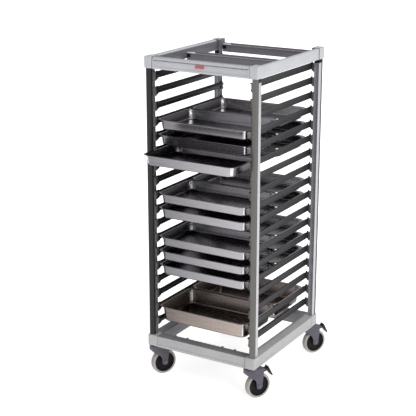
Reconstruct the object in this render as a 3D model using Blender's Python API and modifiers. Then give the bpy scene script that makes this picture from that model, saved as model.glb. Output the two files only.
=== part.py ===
"""Tall mobile rack for gastronorm pans, with eighteen levels of slides, nine of them holding pans.

Metres, +Z up, the front of the rack towards -Y. The rack is modelled about the middle of its frame and
then set down so that the middle of its footprint lies on the origin.
"""

import math

import bmesh
import bpy
from mathutils import Matrix, Vector

# ---------------------------------------------------------------- driving dimensions
GAP = 0.0003  # between pieces that touch

WIDTH = 0.640  # over the corner blocks, along X
DEPTH = 0.720  # over the corner blocks, along Y
BASE_HEIGHT = 0.062
BASE_RAIL = 0.055  # width of a base rail, seen from above
TOP_HEIGHT = 0.061
TOP_RAIL = 0.030
TOP_CLEARANCE = 0.0275  # from the highest slide to the underside of the top frame
CORNER_WIDTH = 0.047  # corner block of the top frame, along X
CORNER_LENGTH = 0.060  # corner blocks along Y
CORNER_PROUD = 0.003
BASE_BEVEL = 0.005
TOP_BEVEL = 0.0025
EDGE_ANGLE = math.radians(60.0)  # edges sharper than this are broken

LEVELS = 18
PITCH = 0.0765
LOWEST_SLIDE = 0.088  # from the top of the base frame to the lowest ledge

CROSSBAR_DROP = 0.024  # top of a crossbar below the top of the side rails
CROSSBAR_HEIGHT = 0.046
CROSSBAR_DEPTH = 0.028
CROSSBAR_LIP = 0.0077  # height of the ledge's step
CROSSBAR_LEDGE = 0.0153  # how far the ledge runs back

POST_INSET = 0.004  # from the outer face of the frame
BAR_WIDTH = 0.032
BAR_DEPTH = 0.015
UPRIGHT_WIDTH = 0.026
UPRIGHT_DEPTH = 0.030

STRIP_THICKNESS = 0.003
STRIP_WIDTH = 0.022
BRACKET_THICKNESS = 0.0135
BRACKET_DEPTH = 0.026
BRACKET_ABOVE = 0.008
BRACKET_BELOW = 0.040
TOE = 0.0035  # how far the bracket's toe stands out

HANG_ROOM = 0.0017  # between a pan's wall and the ledges it hangs on
SLIDE_SINK = 0.001  # how far a slide's web is let into its brackets
SLIDE_WALL = 0.004
WEB_ABOVE = 0.009
WEB_BELOW = 0.025
SLIDE_OVERLAP = 0.006  # the slide runs this far behind each bracket

PAN_LENGTH = 0.530  # along X
PAN_WIDTH = 0.325  # along Y
PAN_CORNER = 0.052
PAN_RIM = 0.012
PAN_SHEET = 0.0012
PAN_DEPTH = 0.052
DEEP_PAN_DEPTH = 0.082
PAN_TAPER = 0.10  # inward travel of the wall for each metre of depth
PAN_FLOOR_RADIUS = 0.010
PAN_FRONT = 0.008  # front rim behind the front face of the frame
PAN_SPACING = 0.002  # between the front and the rear pan
PAN_LEVELS = (4, 5, 6, 9, 10, 12, 13, 14, 17)  # counted from the top
DEEP_LEVEL = 17
PULLED_LEVEL = 6
PULLED_OUT = 0.130

WHEEL_RADIUS = 0.0675
WHEEL_WIDTH = 0.032
TYRE_THICKNESS = 0.012
TYRE_ROUND = 0.005
HUB_WIDTH = 0.030
HUB_WEB = 0.015  # thickness of the hub between its boss and its rim
HUB_BOSS = 0.010  # wall of the boss round the axle
HUB_FLARE = 0.008
AXLE_RADIUS = 0.006
AXLE_HEAD = 0.003
AXLE_HEAD_RADIUS = 0.0096
SWIVEL_INSET = 0.034  # swivel axis from the outer faces of the frame
TRAIL = 0.037
SWIVEL_ANGLE = math.radians(-30.0)
PLATE_RADIUS = 0.027
PLATE_THICKNESS = 0.005
PIVOT_RADIUS = 0.008
PIVOT_LENGTH = 0.014
FORK_INSIDE = 0.036  # clear width between the fork's legs
FORK_WALL = 0.0055
FORK_HEAD = 0.020
FORK_REACH = 0.034  # front of the fork's head before the swivel axis
FORK_REAR = 0.063  # back of the fork's head behind the swivel axis
FORK_SLOPE = 0.0067  # how far the head's top falls towards its back
FORK_CROWN = 0.0254  # top of the fork's head above the room over the tyre
TYRE_ROOM = 0.006  # between the tyre and the fork's head
LEG_END = 0.017  # radius of the leg's round end
CUT_PAST = 0.0027  # how far a cutter runs past the face that it opens
PEDAL_WIDTH = 0.028
PEDAL_WALL = 0.006
PEDAL_TIP = 0.003
PEDAL_STEP = 0.002
PEDAL_ARM = 0.020  # from the pedal's hinge to its blade
PEDAL_FLAG = 0.014  # how far the blade rises above the hinge
PEDAL_BLADE = 0.042  # how far it reaches below the hinge
PEDAL_LEAN = 0.026  # how much further back the blade's foot is than its top
PEDAL_DROP = 0.018  # hinge below the top of the fork
PEDAL_KNUCKLE = 0.0055
PEDAL_PIN = 0.0025
EAR = 0.014  # fork's ears beyond its head, one each side of the pedal

BADGE_WIDTH = 0.050
BADGE_HEIGHT = 0.0115
BADGE_THICKNESS = 0.0012
ROUND_STEPS = 20
BORE_STEPS = 12
SMOOTH_ANGLE = 35.0  # degrees; blunter edges are shaded smooth

# ---------------------------------------------------------------- places worked out from them
FORK_TOP = 2 * WHEEL_RADIUS + TYRE_ROOM + FORK_CROWN
CASTER_HEIGHT = FORK_TOP + PLATE_THICKNESS + 2 * GAP
BASE_TOP = CASTER_HEIGHT + BASE_HEIGHT
TOP_SLIDE = BASE_TOP + LOWEST_SLIDE + (LEVELS - 1) * PITCH
TOP_BOTTOM = TOP_SLIDE + TOP_CLEARANCE
TOP_TOP = TOP_BOTTOM + TOP_HEIGHT
POST_OUTER = WIDTH / 2 - POST_INSET
POST_FRONT = DEPTH / 2 - POST_INSET
UPRIGHT_OUTER = POST_OUTER - (BAR_WIDTH - UPRIGHT_WIDTH) / 2
STRIP_OUTER = UPRIGHT_OUTER - UPRIGHT_WIDTH - GAP
BRACKET_INNER = STRIP_OUTER - BRACKET_THICKNESS
UPRIGHT_MIDDLE = POST_FRONT - BAR_DEPTH - GAP - UPRIGHT_DEPTH / 2
SLIDE_HALF = UPRIGHT_MIDDLE - BRACKET_DEPTH / 2 + SLIDE_OVERLAP
SLIDE_OUTER = BRACKET_INNER + SLIDE_SINK
LEDGE_INNER = PAN_LENGTH / 2 - PAN_RIM + HANG_ROOM
SWIVEL_X = WIDTH / 2 - SWIVEL_INSET
SWIVEL_Y = DEPTH / 2 - SWIVEL_INSET
FORK_HALF = FORK_INSIDE / 2 + FORK_WALL
PEDAL_Y = FORK_REAR + PEDAL_KNUCKLE + 3 * GAP
PEDAL_Z = FORK_TOP - PEDAL_DROP


def clear_scene():
    for thing in list(bpy.data.objects):
        bpy.data.objects.remove(thing, do_unlink=True)


def collection(name):
    group = bpy.data.collections.new(name)
    bpy.context.scene.collection.children.link(group)
    return group


def material(name, colour, roughness, metallic=0.0):
    finish = bpy.data.materials.new(name)
    finish.use_nodes = True
    shader = finish.node_tree.nodes["Principled BSDF"]
    shader.inputs["Base Color"].default_value = (*colour, 1.0)
    shader.inputs["Roughness"].default_value = roughness
    shader.inputs["Metallic"].default_value = metallic
    return finish


clear_scene()
PARTS = collection("sheet_pan_rack")
CUTTERS = collection("cutters")
FRAME_PLASTIC = material("frame_plastic", (0.56, 0.57, 0.60), 0.55)
POST_PLASTIC = material("post_plastic", (0.42, 0.43, 0.46), 0.55)
BAR_METAL = material("bar_metal", (0.12, 0.12, 0.11), 0.35, 0.6)
SLIDE_PLASTIC = material("slide_plastic", (0.035, 0.035, 0.037), 0.5)
PAN_STEEL = material("pan_steel", (0.55, 0.54, 0.54), 0.28, 1.0)
CASTER_PLASTIC = material("caster_plastic", (0.10, 0.095, 0.11), 0.5)
BLACK_PLASTIC = material("black_plastic", (0.01, 0.01, 0.012), 0.45)
TYRE_RUBBER = material("tyre_rubber", (0.36, 0.34, 0.31), 0.8)
ZINC = material("zinc", (0.6, 0.6, 0.62), 0.3, 1.0)
BADGE_RED = material("badge_red", (0.55, 0.02, 0.03), 0.35)


# ---------------------------------------------------------------- shapes
def place(name, mesh, finish, parent=None, location=(0, 0, 0), rotation=(0, 0, 0), group=None):
    thing = bpy.data.objects.new(name, mesh)
    mesh.materials.clear()
    if finish is not None:
        mesh.materials.append(finish)
    thing.parent = parent
    thing.location = location
    thing.rotation_euler = rotation
    (group or PARTS).objects.link(thing)
    return thing


def cutter(name, mesh, location=(0, 0, 0), rotation=(0, 0, 0)):
    tool = place(name, mesh, None, None, location, rotation, CUTTERS)
    tool.hide_render = True
    tool.display_type = "WIRE"
    return tool


def box_mesh(name, low, high):
    shape = bmesh.new()
    bmesh.ops.create_cube(shape, size=1.0)
    size = Vector(high) - Vector(low)
    middle = (Vector(high) + Vector(low)) / 2
    fit = Matrix.Translation(middle) @ Matrix.Diagonal((*size, 1.0))
    bmesh.ops.transform(shape, matrix=fit, verts=shape.verts)
    return finish_mesh(name, shape)


def finish_mesh(name, shape):
    bmesh.ops.recalc_face_normals(shape, faces=shape.faces)
    mesh = bpy.data.meshes.new(name)
    shape.to_mesh(mesh)
    shape.free()
    return mesh


def rod_mesh(name, radius, low, high, axis="X", steps=ROUND_STEPS, centre=(0, 0)):
    """A round bar between two places along an axis; centre is its place across that axis."""
    shape = bmesh.new()
    depth = high - low
    bmesh.ops.create_cone(shape, cap_ends=True, segments=steps, radius1=radius, radius2=radius, depth=depth)
    if axis == "X":
        turn = Matrix.Rotation(math.pi / 2, 4, "Y")
        shift = Vector(((low + high) / 2, *centre))
    else:
        turn = Matrix.Identity(4)
        shift = Vector((*centre, (low + high) / 2))
    bmesh.ops.transform(shape, matrix=Matrix.Translation(shift) @ turn, verts=shape.verts)
    return finish_mesh(name, shape)


def merged(name, meshes):
    """Several closed shapes in one mesh, still separate bodies."""
    shape = bmesh.new()
    for mesh in meshes:
        shape.from_mesh(mesh)
    whole = finish_mesh(name, shape)
    for mesh in meshes:
        bpy.data.meshes.remove(mesh)
    return whole


def extruded(name, outline, low, high, plane="XY"):
    """A closed outline in a plane, carried along the third axis from low to high."""
    shape = bmesh.new()
    if plane == "XY":
        corners = [shape.verts.new((u, v, low)) for u, v in outline]
        travel = Vector((0, 0, high - low))
    elif plane == "XZ":
        corners = [shape.verts.new((u, low, v)) for u, v in outline]
        travel = Vector((0, high - low, 0))
    else:
        corners = [shape.verts.new((low, u, v)) for u, v in outline]
        travel = Vector((high - low, 0, 0))
    face = shape.faces.new(corners)
    grown = bmesh.ops.extrude_face_region(shape, geom=[face])
    moved = [part for part in grown["geom"] if isinstance(part, bmesh.types.BMVert)]
    bmesh.ops.translate(shape, verts=moved, vec=travel)
    return finish_mesh(name, shape)


def add_boolean(thing, tool, operation):
    step = thing.modifiers.new(operation.lower(), "BOOLEAN")
    step.operation = operation
    step.object = tool
    step.solver = "EXACT"


def add_bevel(thing, width):
    step = thing.modifiers.new("broken edges", "BEVEL")
    step.width = width
    step.segments = 1
    step.limit_method = "ANGLE"
    step.angle_limit = EDGE_ANGLE


def smooth(thing):
    thing.data.shade_smooth()
    thing.data.set_sharp_from_angle(angle=math.radians(SMOOTH_ANGLE))


def arc(centre, radius, start, end, steps):
    """Points along a circular arc, both ends included; angles in degrees."""
    points = []
    for step in range(steps + 1):
        angle = math.radians(start + (end - start) * step / steps)
        points.append((centre[0] + radius * math.cos(angle), centre[1] + radius * math.sin(angle)))
    return points


def rounded_rectangle(width, depth, radius, steps=3):
    points = []
    for quarter, (sx, sy) in enumerate(((1, 1), (-1, 1), (-1, -1), (1, -1))):
        centre = (sx * (width / 2 - radius), sy * (depth / 2 - radius))
        points += arc(centre, radius, 90 * quarter, 90 * quarter + 90, steps)
    return points


# ---------------------------------------------------------------- frames
def side_rail(name, side, low, high, rail_width, block_width, bevel):
    """A rail along Y with a corner block moulded on each end."""
    inner = WIDTH / 2 - CORNER_PROUD - rail_width
    block_inner = WIDTH / 2 - block_width
    outer = WIDTH / 2
    face = WIDTH / 2 - CORNER_PROUD
    end = DEPTH / 2
    neck = DEPTH / 2 - CORNER_LENGTH
    rear_outer = [(block_inner, end), (outer, end), (outer, neck), (face, neck)]
    rear_inner = [(inner, neck), (block_inner, neck)]
    outline = rear_outer + [(x, -y) for x, y in reversed(rear_outer)]
    outline += [(x, -y) for x, y in reversed(rear_inner)] + rear_inner
    outline = [point for index, point in enumerate(outline) if point != outline[index - 1]]
    turned_outline = [(side * x, y) for x, y in outline]
    rail = place(name, extruded(name, turned_outline, low, high), FRAME_PLASTIC)
    add_bevel(rail, bevel)


def cross_rail(name, end, low, high, rail_width, block_width, bevel):
    """The rail across the front (end -1) or the rear (end 1), held between the corner blocks."""
    half = WIDTH / 2 - block_width - GAP
    outer = DEPTH / 2 - CORNER_PROUD
    near, far = sorted((end * outer, end * (outer - rail_width)))
    rail = place(name, box_mesh(name, (-half, near, low), (half, far, high)), FRAME_PLASTIC)
    add_bevel(rail, bevel)


def crossbar(name, middle, half):
    """A dark bar across the top frame, set lower than the side rails, with a ledge along its front."""
    high = TOP_TOP - CROSSBAR_DROP
    low = high - CROSSBAR_HEIGHT
    front = middle - CROSSBAR_DEPTH / 2
    back = middle + CROSSBAR_DEPTH / 2
    outline = [
        (front, low),
        (back, low),
        (back, high),
        (front + CROSSBAR_LEDGE, high),
        (front + CROSSBAR_LEDGE, high - CROSSBAR_LIP),
        (front, high - CROSSBAR_LIP),
    ]
    return place(name, extruded(name, outline, -half, half, "YZ"), POST_PLASTIC)


def build_frames():
    for side, word in ((-1, "left"), (1, "right")):
        side_rail(f"base_rail_{word}", side, CASTER_HEIGHT, BASE_TOP, BASE_RAIL, BASE_RAIL, BASE_BEVEL)
        side_rail(f"top_rail_{word}", side, TOP_BOTTOM, TOP_TOP, TOP_RAIL, CORNER_WIDTH, TOP_BEVEL)
    for end, word in ((-1, "front"), (1, "rear")):
        cross_rail(f"base_rail_{word}", end, CASTER_HEIGHT, BASE_TOP, BASE_RAIL, BASE_RAIL, BASE_BEVEL)
    cross_rail("top_rail_front", -1, TOP_BOTTOM, TOP_TOP, TOP_RAIL, CORNER_WIDTH, BASE_BEVEL)
    crossbar("top_crossbar_middle", 0.0, WIDTH / 2 - CORNER_PROUD - TOP_RAIL - GAP)
    rear = DEPTH / 2 - CORNER_PROUD - CROSSBAR_DEPTH / 2
    crossbar("top_crossbar_rear", rear, WIDTH / 2 - CORNER_WIDTH - GAP)
    face = -(DEPTH / 2 - CORNER_PROUD) - GAP
    middle = (TOP_BOTTOM + TOP_TOP) / 2
    low = (-BADGE_WIDTH / 2, face - BADGE_THICKNESS, middle - BADGE_HEIGHT / 2)
    high = (BADGE_WIDTH / 2, face, middle + BADGE_HEIGHT / 2)
    place("badge", box_mesh("badge", low, high), BADGE_RED)


# ---------------------------------------------------------------- posts
def span(end, middle, width):
    """The lower and the higher end of a width about a middle, on one side of zero (-1 or 1)."""
    return sorted((end * (middle - width / 2), end * (middle + width / 2)))


def build_posts():
    low = BASE_TOP + GAP
    high = TOP_BOTTOM - GAP
    for side, side_word in ((-1, "left"), (1, "right")):
        for end, end_word in ((-1, "front"), (1, "rear")):
            word = f"{end_word}_{side_word}"
            x_pair = span(side, UPRIGHT_OUTER - UPRIGHT_WIDTH / 2, UPRIGHT_WIDTH)
            y_pair = span(end, UPRIGHT_MIDDLE, UPRIGHT_DEPTH)
            upright = box_mesh(f"post_{word}", (x_pair[0], y_pair[0], low), (x_pair[1], y_pair[1], high))
            place(f"post_{word}", upright, POST_PLASTIC)
            middle = side * (POST_OUTER - BAR_WIDTH / 2)
            back = POST_FRONT - BAR_DEPTH
            bow = [
                (middle + BAR_WIDTH / 2 * u, end * (back + BAR_DEPTH * v))
                for u, v in arc((0, 0), 1.0, 0, 180, 8)
            ]
            bar = place(f"post_bar_{word}", extruded(f"post_bar_{word}", bow, low, high), BAR_METAL)
            smooth(bar)


# ---------------------------------------------------------------- slides
def ledge_height(level):
    """Top of the ledge at a level, the highest level being 1."""
    return TOP_SLIDE - (level - 1) * PITCH


def slide_outline(side, ledge):
    inner_web = SLIDE_OUTER - SLIDE_WALL
    points = [
        (LEDGE_INNER, ledge - SLIDE_WALL),
        (inner_web, ledge - SLIDE_WALL),
        (inner_web, ledge - WEB_BELOW),
        (SLIDE_OUTER, ledge - WEB_BELOW),
        (SLIDE_OUTER, ledge + WEB_ABOVE),
        (inner_web, ledge + WEB_ABOVE),
        (inner_web, ledge),
        (LEDGE_INNER, ledge),
    ]
    return [(side * x, z) for x, z in points]


def bracket_outline(side, ledge):
    """Hook bracket seen from the front, with a toe that curls inwards below the slide."""
    outer = STRIP_OUTER - STRIP_THICKNESS / 2
    foot = ledge - BRACKET_BELOW
    points = [
        (outer, ledge + BRACKET_ABOVE),
        (BRACKET_INNER + 2 * TOE, ledge + BRACKET_ABOVE),
        (BRACKET_INNER, ledge),
        (BRACKET_INNER, ledge - WEB_BELOW),
        (BRACKET_INNER - TOE, ledge - WEB_BELOW - TOE),
        (BRACKET_INNER - TOE / 2, foot + TOE),
        (BRACKET_INNER + TOE, foot),
        (outer, foot),
    ]
    return [(side * x, z) for x, z in points]


def build_slide_bank(side, word):
    slides = []
    brackets = []
    for level in range(1, LEVELS + 1):
        ledge = ledge_height(level)
        slides.append(extruded("slide", slide_outline(side, ledge), -SLIDE_HALF, SLIDE_HALF, "XZ"))
        for end in (-1, 1):
            y_pair = span(end, UPRIGHT_MIDDLE, BRACKET_DEPTH)
            brackets.append(extruded("bracket", bracket_outline(side, ledge), *y_pair, "XZ"))
    x_pair = span(side, STRIP_OUTER - STRIP_THICKNESS / 2, STRIP_THICKNESS)
    strips = []
    for end in (-1, 1):
        y_pair = span(end, UPRIGHT_MIDDLE, STRIP_WIDTH)
        low = (x_pair[0], y_pair[0], BASE_TOP + GAP)
        high = (x_pair[1], y_pair[1], TOP_BOTTOM - GAP)
        strips.append(box_mesh("strip", low, high))
    name = f"slide_bank_{word}"
    bank = place(name, merged(name, slides), SLIDE_PLASTIC)
    bracket_tool = cutter(f"{name}_brackets", merged(f"{name}_brackets", brackets))
    strip_tool = cutter(f"{name}_strips", merged(f"{name}_strips", strips))
    add_boolean(bank, bracket_tool, "UNION")
    add_boolean(bank, strip_tool, "UNION")


# ---------------------------------------------------------------- pans
def pan_mesh(name, depth):
    """A pressed pan with a flat rim; its origin is the middle of the rim's underside."""
    lean = PAN_TAPER * (depth - PAN_FLOOR_RADIUS)
    foot = PAN_RIM + lean
    radius = PAN_CORNER - PAN_RIM
    rings = [
        (0.0, PAN_CORNER, 0.0),
        (PAN_RIM, radius, 0.0),
        (foot, radius - lean / 2, PAN_FLOOR_RADIUS - depth),
        (foot + PAN_FLOOR_RADIUS, radius - lean, -depth),
    ]
    shape = bmesh.new()
    edges = []
    for inset, radius, height in rings:
        outline = rounded_rectangle(PAN_LENGTH - 2 * inset, PAN_WIDTH - 2 * inset, radius)
        corners = [shape.verts.new((x, y, height)) for x, y in outline]
        ring = [shape.edges.new((corners[i - 1], corners[i])) for i in range(len(corners))]
        if edges:
            bmesh.ops.bridge_loops(shape, edges=edges + ring)
        edges = ring
    bmesh.ops.contextual_create(shape, geom=edges)
    return finish_mesh(name, shape)


def pan_places():
    """The name, level, y of the pan's middle and pulled-out travel of every pan."""
    front = -DEPTH / 2 + PAN_FRONT + PAN_WIDTH / 2
    rear = front + PAN_WIDTH + PAN_SPACING
    for level in PAN_LEVELS:
        pulled = PULLED_OUT if level == PULLED_LEVEL else 0.0
        yield f"pan_front_{level:02d}", level, front - pulled
        yield f"pan_rear_{level:02d}", level, rear


def build_pans():
    for name, level, middle in pan_places():
        depth = DEEP_PAN_DEPTH if level == DEEP_LEVEL else PAN_DEPTH
        height = ledge_height(level) + GAP + PAN_SHEET
        pan = place(name, pan_mesh(name, depth - PAN_SHEET), PAN_STEEL, None, (0, middle, height))
        sheet = pan.modifiers.new("sheet", "SOLIDIFY")
        sheet.thickness = PAN_SHEET
        sheet.offset = -1.0
        sheet.use_even_offset = True
        smooth(pan)


# ---------------------------------------------------------------- casters
def leg_outline(braked):
    """The fork seen along the axle: wide at the head, narrow and round at the axle."""
    points = [(-FORK_REACH, FORK_TOP), (-FORK_REACH, FORK_TOP - FORK_HEAD)]
    points += arc((TRAIL, WHEEL_RADIUS), LEG_END, 200, 340, 4)
    points += [(FORK_REAR, FORK_TOP - FORK_HEAD - PEDAL_KNUCKLE)]
    if braked:
        points += [(FORK_REAR + EAR, PEDAL_Z - PEDAL_KNUCKLE), (FORK_REAR + EAR, PEDAL_Z + PEDAL_KNUCKLE)]
    points += [(FORK_REAR, FORK_TOP - FORK_SLOPE), (FORK_REACH, FORK_TOP)]
    return points


def build_housing(name, parent, braked):
    inside = FORK_INSIDE / 2
    reach = FORK_HALF + CUT_PAST
    legs = extruded(name, leg_outline(braked), -FORK_HALF, FORK_HALF, "YZ")
    housing = place(name, legs, CASTER_PLASTIC, parent)
    tyre_room = WHEEL_RADIUS + TYRE_ROOM
    arch = arc((TRAIL, WHEEL_RADIUS), tyre_room, 0, 180, 8)
    wheel_slot = arch + [(TRAIL - tyre_room, -WHEEL_RADIUS), (TRAIL + tyre_room, -WHEEL_RADIUS)]
    slot = cutter(f"{name}_slot", extruded(f"{name}_slot", wheel_slot, -inside, inside, "YZ"))
    axle = (TRAIL, WHEEL_RADIUS)
    bore = rod_mesh(f"{name}_bore", AXLE_RADIUS + GAP, -reach, reach, "X", BORE_STEPS, axle)
    foot = FORK_TOP - PIVOT_LENGTH - GAP
    pivot = rod_mesh(f"{name}_pivot", PIVOT_RADIUS + GAP, foot, FORK_TOP + CUT_PAST, "Z", BORE_STEPS)
    tools = [slot, cutter(f"{name}_bore", bore), cutter(f"{name}_pivot", pivot)]
    if braked:
        low = (-PEDAL_WIDTH / 2 - GAP, FORK_REAR, PEDAL_Z - FORK_HEAD)
        high = (PEDAL_WIDTH / 2 + GAP, FORK_REAR + 2 * EAR, FORK_TOP + GAP)
        tools.append(cutter(f"{name}_pedal_room", box_mesh(f"{name}_pedal_room", low, high)))
        hinge = (PEDAL_Y, PEDAL_Z)
        pin = rod_mesh(f"{name}_pin", PEDAL_PIN + GAP, -reach, reach, "X", BORE_STEPS, hinge)
        tools.append(cutter(f"{name}_pin", pin))
    for tool in tools:
        tool.parent = parent
        add_boolean(housing, tool, "DIFFERENCE")
    return housing


def turned(name, profile, finish, parent, steps=ROUND_STEPS):
    """A closed profile of (x, radius) points turned about the axle."""
    shape = bmesh.new()
    corners = [shape.verts.new((x, 0.0, radius)) for x, radius in profile]
    ring = [shape.edges.new((corners[i - 1], corners[i])) for i in range(len(corners))]
    bmesh.ops.spin(
        shape,
        geom=corners + ring,
        cent=(0, 0, 0),
        axis=(1, 0, 0),
        angle=2 * math.pi,
        steps=steps,
        use_merge=True,
    )
    bmesh.ops.remove_doubles(shape, verts=shape.verts, dist=1e-6)
    thing = place(name, finish_mesh(name, shape), finish, parent, (0, TRAIL, WHEEL_RADIUS))
    smooth(thing)
    return thing


def build_caster(word, side, end, braked):
    centre = (side * SWIVEL_X, end * SWIVEL_Y, 0)
    swivel = bpy.data.objects.new(f"swivel_{word}", None)
    swivel.location = centre
    swivel.rotation_euler = (0, 0, SWIVEL_ANGLE)
    PARTS.objects.link(swivel)

    plate_top = CASTER_HEIGHT - GAP
    plate_bottom = plate_top - PLATE_THICKNESS
    name = f"caster_plate_{word}"
    plate = place(name, rod_mesh(name, PLATE_RADIUS, plate_bottom, plate_top, "Z"), ZINC, swivel)
    foot = plate_bottom - PIVOT_LENGTH
    pin = rod_mesh(f"{name}_pin", PIVOT_RADIUS, foot, plate_top - GAP, "Z", BORE_STEPS)
    pin_tool = cutter(f"{name}_pin", pin)
    pin_tool.parent = swivel
    add_boolean(plate, pin_tool, "UNION")

    build_housing(f"caster_fork_{word}", swivel, braked)

    half = FORK_HALF + GAP
    name = f"caster_axle_{word}"
    shaft = rod_mesh(name, AXLE_RADIUS, -half, half, "X", BORE_STEPS)
    axle = place(name, shaft, ZINC, swivel, (0, TRAIL, WHEEL_RADIUS))
    heads = []
    for sign in (-1, 1):
        pair = sorted((sign * half, sign * (half + AXLE_HEAD)))
        heads.append(rod_mesh("head", AXLE_HEAD_RADIUS, *pair, "X", BORE_STEPS))
    head_tool = cutter(f"{name}_heads", merged(f"{name}_heads", heads), (0, TRAIL, WHEEL_RADIUS))
    head_tool.parent = swivel
    add_boolean(axle, head_tool, "UNION")

    rim = WHEEL_RADIUS - TYRE_THICKNESS
    hub_half = HUB_WIDTH / 2
    web = HUB_WEB / 2
    bore = AXLE_RADIUS + GAP
    boss = bore + HUB_BOSS
    hub_side = [
        (-hub_half, bore),
        (-hub_half, boss),
        (-web, boss + HUB_FLARE),
        (-hub_half, rim - GAP),
    ]
    hub = hub_side + [(-x, radius) for x, radius in reversed(hub_side)]
    turned(f"caster_hub_{word}", hub, BLACK_PLASTIC, swivel)
    tyre_half = WHEEL_WIDTH / 2
    tyre_side = [
        (-tyre_half, rim),
        (-tyre_half, WHEEL_RADIUS - TYRE_ROUND),
        (-tyre_half + TYRE_ROUND, WHEEL_RADIUS),
    ]
    tyre = tyre_side + [(-x, radius) for x, radius in reversed(tyre_side)]
    turned(f"caster_tyre_{word}", tyre, TYRE_RUBBER, swivel)
    if braked:
        build_pedal(word, swivel)


def build_pedal(word, swivel):
    """Brake pedal hinged between the fork's ears, with a leaning blade to tread on or lift."""
    wall = PEDAL_WALL
    outline = arc((0, 0), PEDAL_KNUCKLE, 60, 300, 6)
    outline += [
        (PEDAL_ARM, -wall),
        (PEDAL_ARM + PEDAL_LEAN, -PEDAL_BLADE),
        (PEDAL_ARM + PEDAL_LEAN + wall, -PEDAL_BLADE + PEDAL_TIP),
        (PEDAL_ARM + wall, PEDAL_FLAG),
        (PEDAL_ARM, PEDAL_FLAG),
        (PEDAL_ARM - PEDAL_STEP, PEDAL_TIP),
    ]
    name = f"brake_pedal_{word}"
    mesh = extruded(name, outline, -PEDAL_WIDTH / 2, PEDAL_WIDTH / 2, "YZ")
    hinge = (0, PEDAL_Y, PEDAL_Z)
    pedal = place(name, mesh, BLACK_PLASTIC, swivel, hinge)
    pin = rod_mesh(f"{name}_pin", PEDAL_PIN, -FORK_HALF, FORK_HALF, "X", BORE_STEPS)
    pin_tool = cutter(f"{name}_pin", pin, hinge)
    pin_tool.parent = swivel
    add_boolean(pedal, pin_tool, "UNION")


def set_down():
    """Moves the rack so that the middle of its footprint is the origin and its wheels stand on z = 0."""
    bpy.context.view_layer.update()
    graph = bpy.context.evaluated_depsgraph_get()
    points = []
    for thing in PARTS.objects:
        if thing.type != "MESH":
            continue
        seen = thing.evaluated_get(graph)
        points += [seen.matrix_world @ vertex.co for vertex in seen.data.vertices]
    shift = Vector((0.0, 0.0, 0.0))
    for axis in (0, 1):
        values = [point[axis] for point in points]
        shift[axis] = -(min(values) + max(values)) / 2
    shift[2] = -min(point[2] for point in points)
    for thing in list(PARTS.objects) + list(CUTTERS.objects):
        if thing.parent is None:
            thing.location += shift
    return shift


build_frames()
build_posts()
for side_sign, side_name in ((-1, "left"), (1, "right")):
    build_slide_bank(side_sign, side_name)
build_pans()
for end_sign, end_name in ((-1, "front"), (1, "rear")):
    build_caster(f"{end_name}_left", -1, end_sign, False)
    build_caster(f"{end_name}_right", 1, end_sign, True)
SHIFT = set_down()
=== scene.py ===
"""Looks of the sheet pan rack: moulded frames, posts, slides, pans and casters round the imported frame."""

import math
from contextlib import contextmanager

import bmesh
import bpy
from mathutils import Matrix, Vector


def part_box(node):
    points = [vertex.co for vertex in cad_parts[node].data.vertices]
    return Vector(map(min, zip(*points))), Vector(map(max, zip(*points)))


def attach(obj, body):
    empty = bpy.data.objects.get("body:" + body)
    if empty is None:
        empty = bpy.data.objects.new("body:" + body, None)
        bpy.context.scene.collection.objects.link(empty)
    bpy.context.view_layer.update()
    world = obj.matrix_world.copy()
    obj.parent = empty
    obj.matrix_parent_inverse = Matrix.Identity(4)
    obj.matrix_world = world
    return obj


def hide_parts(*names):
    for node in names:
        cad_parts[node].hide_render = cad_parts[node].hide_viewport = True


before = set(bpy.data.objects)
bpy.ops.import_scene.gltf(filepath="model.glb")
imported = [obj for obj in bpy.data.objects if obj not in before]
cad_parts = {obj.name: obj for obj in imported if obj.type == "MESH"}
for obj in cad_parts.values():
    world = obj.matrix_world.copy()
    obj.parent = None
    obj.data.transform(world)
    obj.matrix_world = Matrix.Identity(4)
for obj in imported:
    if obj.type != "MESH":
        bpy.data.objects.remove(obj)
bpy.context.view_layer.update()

# ------------------------------------------------------------------ places read from the frame
LEFT_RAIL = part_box("top_rail_left")
RIGHT_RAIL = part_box("top_rail_right")
MIDDLE = Vector(((LEFT_RAIL[0].x + RIGHT_RAIL[1].x) / 2, (RIGHT_RAIL[0].y + RIGHT_RAIL[1].y) / 2, 0.0))
HALF_DEPTH = (RIGHT_RAIL[1].y - RIGHT_RAIL[0].y) / 2
SIDES = ((-1, "left"), (1, "right"))
ENDS = ((-1, "front"), (1, "rear"))
GAP = 0.0003


# ------------------------------------------------------------------ modelling by hand
def deselect():
    bpy.ops.object.select_all(action="DESELECT")


def take(piece):
    """Makes a piece the only selected one, and the active one."""
    deselect()
    piece.select_set(True)
    bpy.context.view_layer.objects.active = piece


@contextmanager
def shaping(piece):
    """Edit mode on one piece."""
    take(piece)
    bpy.ops.object.mode_set(mode="EDIT")
    bpy.ops.mesh.select_mode(type="VERT")
    yield
    bpy.ops.object.mode_set(mode="OBJECT")


def settle(piece):
    """Puts a piece's place, turn and size into its mesh."""
    take(piece)
    bpy.ops.object.transform_apply(location=True, rotation=True, scale=True)
    return piece


def pick(piece, kind, test):
    """Selects the faces, edges or vertices whose middle and direction pass a test."""
    bpy.ops.mesh.select_mode(type=kind)
    bpy.ops.mesh.select_all(action="DESELECT")
    mesh = bmesh.from_edit_mesh(piece.data)
    if kind == "FACE":
        for face in mesh.faces:
            face.select_set(test(face.calc_center_median(), face.normal))
    elif kind == "EDGE":
        for edge in mesh.edges:
            start, end = (vertex.co for vertex in edge.verts)
            edge.select_set(test((start + end) / 2, (end - start).normalized()))
    else:
        for vertex in mesh.verts:
            vertex.select_set(test(vertex.co, vertex.normal))
    mesh.select_flush_mode()
    bmesh.update_edit_mesh(piece.data)


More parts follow.
